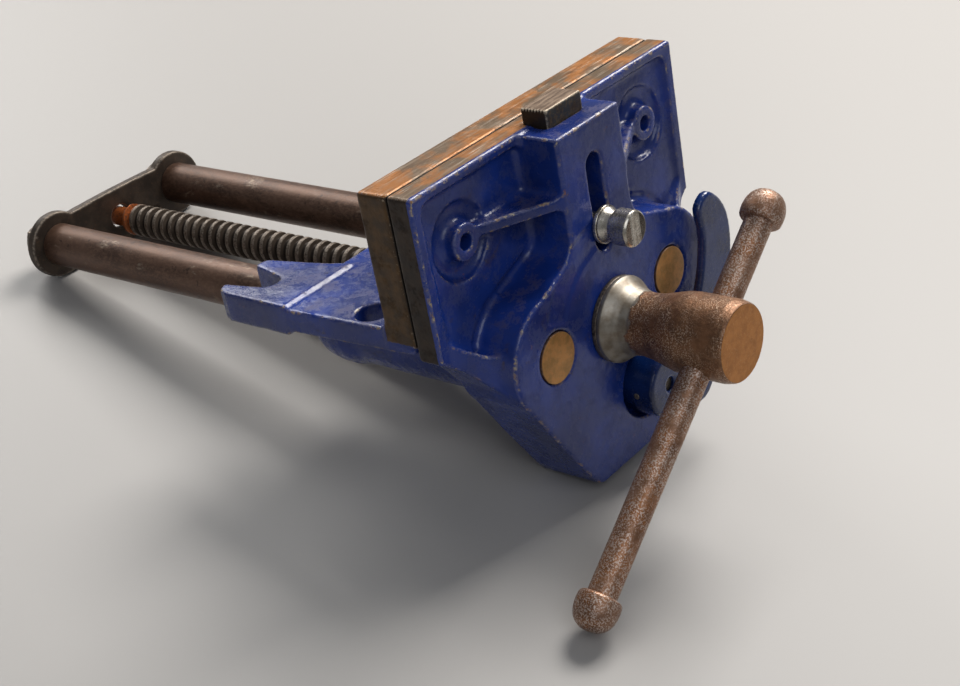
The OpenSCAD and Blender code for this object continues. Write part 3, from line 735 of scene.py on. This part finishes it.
def main_screw():
    head_points, head_faces = screw_head()
    thread_points, thread_faces, crest = screw_thread(CAVITY_Y - 1, TIP_Y + 1)
    tail_start, tail_end = TIP_Y, screw_high.y / MM
    tail_r = THREAD_ROOT - 0.1
    tail = [(0, tail_start - 2), (tail_r, tail_start - 2), (tail_r, tail_start)]
    tail += [(5.2, tail_start + 0.4), (5.2, tail_end - 0.8), (4.4, tail_end), (0, tail_end)]
    tail_points, tail_faces = turned(softened(tail, 0.3), SCREW, ALONG, 48)
    thread = (thread_points, thread_faces)
    points, faces = joined((head_points, head_faces), thread, (tail_points, tail_faces))
    piece = new_piece("main_screw_turned", points, faces, ["main_screw"], 40)
    mesh = piece.data
    piece.data.materials.append(head_material())
    piece.data.materials.append(thread_material())
    values = np.zeros(len(mesh.vertices), np.float32)
    values[len(head_points) : len(head_points) + len(crest)] = crest
    mesh.attributes.new("crest", "FLOAT", "POINT").data.foreach_set("value", values)
    for face in mesh.polygons:
        if face.vertices[0] >= len(head_points):
            face.material_index = 1
    edit = bmesh.new()
    edit.from_mesh(mesh)
    bmesh.ops.remove_doubles(edit, verts=edit.verts, dist=0.002 * MM)
    edit.to_mesh(mesh)
    edit.free()
    roughen(piece, 0.13, 1.3, lambda p: p.y > MEET_Y - 47 * MM or p.y < screw_low.y + 0.5 * MM)


def screw_rings():
    dark = iron_material("ring_iron", (0.050, 0.037, 0.028), (0.028, 0.020, 0.016), 0.4, 0.7)
    low, high = thrust_low.y / MM, thrust_high.y / MM
    outer = (thrust_high.x - thrust_low.x) / 2 / MM
    points, faces = turned(ring_profile(11.1, outer, low, high, 0.5), SCREW, ALONG, 96)
    paint(new_piece("thrust_washer_ring", points, faces, ["thrust_washer"]), dark)
    low, high = collar_low.y / MM, collar_high.y / MM
    outer = (collar_high.x - collar_low.x) / 2 / MM
    points, faces = turned(ring_profile(THREAD_CREST + 0.02, outer, low, high, 0.8), SCREW, ALONG, 96)
    paint(new_piece("retaining_collar_ring", points, faces, ["retaining_collar"]), dark)


def pin(name, node, low, high, axis, material):
    """A plain pin with chamfered ends along X or Y."""
    along = "xyz".index(axis)
    other = (along + 2) % 3
    r = (high[other] - low[other]) / 2 / MM
    middle = (low + high) / 2
    middle[along] = 0
    direction = Vector((axis == "x", axis == "y", axis == "z"))
    start, end = low[along] / MM, high[along] / MM
    profile = softened([(0, start), (r, start), (r, end), (0, end)], 0.5)
    points, faces = turned(profile, middle, direction, 32)
    paint(new_piece(name, points, faces, [node]), material)


# ------------------------------------------------------------------ handle


def handle():
    material = handle_material()
    top_low, top_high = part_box("handle_knob_top")
    bottom_low, bottom_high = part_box("handle_knob_bottom")
    rod_low, rod_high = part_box("handle_bar")
    direction = Vector((rod_high.x - rod_low.x, 0, rod_high.z - rod_low.z))
    middle = (rod_low + rod_high) / 2
    r = (rod_high.y - rod_low.y) / 2 / MM
    width, height = direction.x / MM, direction.z / MM
    tilt = math.atan2(height, width)
    # The box of a tilted rod is wider than its axis, so the tilt is found by repeated correction
    for _ in range(20):
        length = (width - 2 * r * math.sin(tilt)) / math.cos(tilt)
        tilt = math.asin(min(1.0, (height - 2 * r * math.cos(tilt)) / length))
    axis = Vector((math.cos(tilt), 0, math.sin(tilt)))
    half = length / 2
    profile = refined(softened([(0, -half), (r, -half), (r, half), (0, half)], 0.6), 0.9)
    points, faces = turned(profile, middle, axis, 56)
    rod = new_piece("handle_rod", points, faces, ["handle_bar"], 0)
    knob = [(r, -7.5), (8.3, -7.5), (9.2, -6.4), (9.5, -4.2), (9.45, -1.8), (9.0, 0.8), (8.0, 3.4),
            (6.2, 5.5), (3.6, 6.9), (0, 7.4)]
    pieces = [rod]
    for sign, node in ((1, "handle_knob_top"), (-1, "handle_knob_bottom")):
        shape = refined(softened(knob, 0.9), 0.6)
        centre = middle + axis * sign * half * MM
        points, faces = turned(shape, centre, axis * sign, 80)
        pieces.append(new_piece(node + "_turned", points, faces, [node], 0))
    for piece in pieces:
        paint(piece, material)
        roughen(piece, 0.16, 1.7)


# ------------------------------------------------------------------ quick release and half nut


def quick_release():
    steel = iron_material("linkage_steel", (0.105, 0.088, 0.074), (0.060, 0.047, 0.038), 0.42, 0.7)
    crank = cast_piece("lever_crank", 0.3, 0.4, 0.4)
    paint(crank, steel)
    fork = cast_piece("trip_crank", 0.3, 0.4, 0.4)
    paint(fork, steel)
    blade = cast_piece("trip_bar", 0.4, 0.5, 0.5)
    roughen(blade, 0.1, 5)
    paint(blade, iron_material("trip_bar_iron", (0.045, 0.034, 0.027), (0.085, 0.060, 0.045), 0.45, 0.6))
    nut = cast_piece("half_nut", 0.5, 0.6, 0.6)
    roughen(nut, 0.15, 5)
    paint(nut, iron_material("half_nut_iron", (0.060, 0.046, 0.036), (0.035, 0.026, 0.020)))
    pin("lever_shaft_turned", "lever_shaft", shaft_low, shaft_high, "y", steel)
    pin("lever_cross_pin", "lever_pin", lever_pin_low, lever_pin_high, "x", steel)
    pin("half_nut_hinge_pin", "half_nut_pin", nut_pin_low, nut_pin_high, "y", steel)
    pin("collar_cross_pin", "collar_pin", collar_pin_low, collar_pin_high, "x", steel)
    low, high = clip_low.y / MM, clip_high.y / MM
    outer = (clip_high.x - clip_low.x) / 2 / MM
    points, faces = turned(ring_profile(3.0, outer, low, high), axis_place(clip_low, clip_high), ALONG, 48)
    paint(new_piece("trip_bar_ring", points, faces, ["trip_bar_clip"]), steel)


def springs():
    wire = iron_material("spring_wire", (0.20, 0.185, 0.165), (0.12, 0.10, 0.085), 0.35, 0.85)
    outer = (coil_high.x - coil_low.x) / 2 / MM
    origin = axis_place(coil_low, coil_high)
    points, faces = coil(outer - 1.1, 1.0, 3.5, coil_low.y / MM, coil_high.y / MM, origin, ALONG)
    paint(new_piece("lever_torsion_spring", points, faces, ["lever_spring"], 0), wire)
    outer = (spring_high.x - spring_low.x) / 2 / MM
    origin = Vector(((spring_low.x + spring_high.x) / 2, (spring_low.y + spring_high.y) / 2, 0))
    points, faces = coil(outer - 0.6, 0.55, 6, spring_low.z / MM, spring_high.z / MM, origin, (0, 0, 1))
    piece = new_piece("half_nut_coil_spring", points, faces, ["half_nut_spring"], 0)
    paint(piece, wire)
    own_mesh(piece)


# ------------------------------------------------------------------ dog and its thumbscrew


def dog():
    bar = cast_piece("dog_bar", 0.35, 0.4, 0.45)
    for vertex in bar.data.vertices:
        p = vertex.co
        depth = (dog_high.z - p.z) / MM
        if depth < 2.2 and p.x < dog_low.x + 1.2 * MM:
            groove = max(0.0, math.sin(TAU * (p.y - dog_low.y) / (1.5 * MM)))
            p.x += groove * 0.35 * MM * (1 - depth / 2.2)
    roughen(bar, 0.12, 4)
    paint(bar, dog_material())
    bright = bright_material()
    screw = cast_piece("dog_screw", 0.2, 0.1, 0.12)
    paint(screw, bright)
    low, high = dog_washer_low.y / MM, dog_washer_high.y / MM
    outer = (dog_washer_high.x - dog_washer_low.x) / 2 / MM
    origin = axis_place(dog_washer_low, dog_washer_high)
    points, faces = turned(ring_profile(4.6, outer, low, high, 0.5), origin, ALONG, 72)
    paint(new_piece("dog_washer_ring", points, faces, ["dog_washer"]), bright)


castings()
guide_bars()
end_plate()
main_screw()
screw_rings()
handle()
quick_release()
springs()
dog()


# ------------------------------------------------------------------ camera, floor and light

CAMERA_PLACE = Vector((-497.3, -459.1, 295.7)) * MM
CAMERA_RIGHT = Vector((0.6193, -0.7673, -0.1667))
CAMERA_UP = Vector((0.4542, 0.1769, 0.8732))
CAMERA_LENS = 63.0
FLOOR_DROP = 95.0
FLOOR_SLOPE = 0.178

camera = bpy.data.objects.new("camera", bpy.data.cameras.new("camera"))
bpy.context.scene.collection.objects.link(camera)
back = CAMERA_RIGHT.cross(CAMERA_UP)
axes = Matrix((CAMERA_RIGHT, back.cross(CAMERA_RIGHT), back)).transposed()
camera.matrix_world = Matrix.Translation(CAMERA_PLACE) @ axes.to_4x4()
camera.data.lens = CAMERA_LENS
camera.data.sensor_width = 36.0
bpy.context.scene.camera = camera

FLOOR_HALF = 8.0
floor_mesh = bpy.data.meshes.new("floor")
floor_mesh.from_pydata(
    [
        (x * FLOOR_HALF, y * FLOOR_HALF, -FLOOR_DROP * MM + FLOOR_SLOPE * y * FLOOR_HALF)
        for x, y in ((-1, -1), (1, -1), (1, 1), (-1, 1))
    ],
    [],
    [(0, 1, 2, 3)],
)
floor = bpy.data.objects.new("floor", floor_mesh)
bpy.context.scene.collection.objects.link(floor)
paint(floor, Shader("floor").done((0.40, 0.39, 0.38), 0.5))


def soft_light(name, toward, distance, size, power, colour=(1, 1, 1)):
    """A large area light that shines from that direction on the middle of the object."""
    data = bpy.data.lights.new(name, "AREA")
    data.size = size
    data.energy = power
    data.color = colour
    light = bpy.data.objects.new(name, data)
    bpy.context.scene.collection.objects.link(light)
    direction = Vector(toward).normalized()
    light.location = Vector((0, 0.05, -0.02)) + direction * distance
    light.rotation_mode = "QUATERNION"
    light.rotation_quaternion = direction.to_track_quat("Z", "Y")


soft_light("key", (0.75, -0.10, 0.85), 1.6, 0.8, 34, (1.0, 0.96, 0.91))
soft_light("rim", (0.35, 0.9, 0.75), 1.8, 0.8, 12, (1.0, 0.98, 0.95))
soft_light("fill", (-0.5, -0.9, 0.7), 2.0, 1.2, 9, (0.92, 0.95, 1.0))
world = bpy.data.worlds.new("studio")
world.use_nodes = True
world.node_tree.nodes["Background"].inputs[0].default_value = (0.8, 0.81, 0.83, 1)
world.node_tree.nodes["Background"].inputs[1].default_value = 0.22
bpy.context.scene.world = world
bpy.context.scene.view_settings.view_transform = "Standard"
